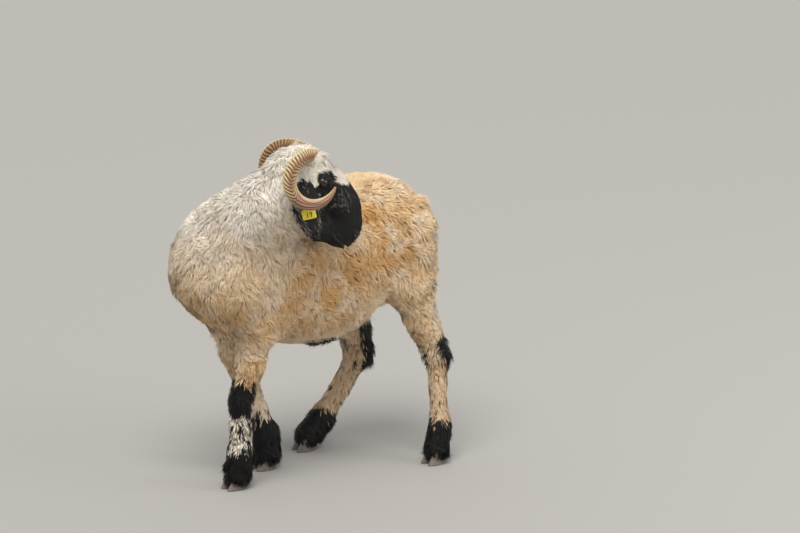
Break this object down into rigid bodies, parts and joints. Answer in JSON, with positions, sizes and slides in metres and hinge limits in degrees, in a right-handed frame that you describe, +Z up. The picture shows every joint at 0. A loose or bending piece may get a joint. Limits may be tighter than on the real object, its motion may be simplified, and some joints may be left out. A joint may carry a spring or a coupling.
{
  "type": "sheep",
  "caption": "Shorn horned sheep with a black face and black boots, standing with its head turned back over one flank.",
  "frame": {"origin": "middle of the animal's outline on the floor", "axes": "+X the way the chest faces, +Y to the animal's left, +Z up"},
  "size_m": [0.7782, 0.4956, 0.8851],
  "materials": {
    "wool": "freshly shorn curly wool, cream on the neck and tan on the trunk",
    "face": "short soft black hair",
    "leg_hair": "short pale hair with black boots and knees",
    "claw": "dull grey horn",
    "horn": "ridged brown and cream horn",
    "eye": "wet dark amber with a level pupil",
    "tag": "plain yellow ear tag"
  },
  "bodies": {
    "root": {"trunk": "wool", "neck": "wool", "tail": "wool", "head": "face", "front_left_upper_leg": "wool", "front_left_lower_leg": "leg_hair", "front_left_left_claw": "claw", "front_left_right_claw": "claw", "front_right_upper_leg": "wool", "front_right_lower_leg": "leg_hair", "front_right_left_claw": "claw", "front_right_right_claw": "claw", "rear_left_upper_leg": "wool", "rear_left_lower_leg": "leg_hair", "rear_left_left_claw": "claw", "rear_left_right_claw": "claw", "rear_right_upper_leg": "wool", "rear_right_lower_leg": "leg_hair", "rear_right_left_claw": "claw", "rear_right_right_claw": "claw", "left_horn": "horn", "left_ear": "face", "left_eye": "eye", "right_horn": "horn", "right_ear": "face", "right_eye": "eye", "ear_tag": "tag"}
  },
  "joints": []
}
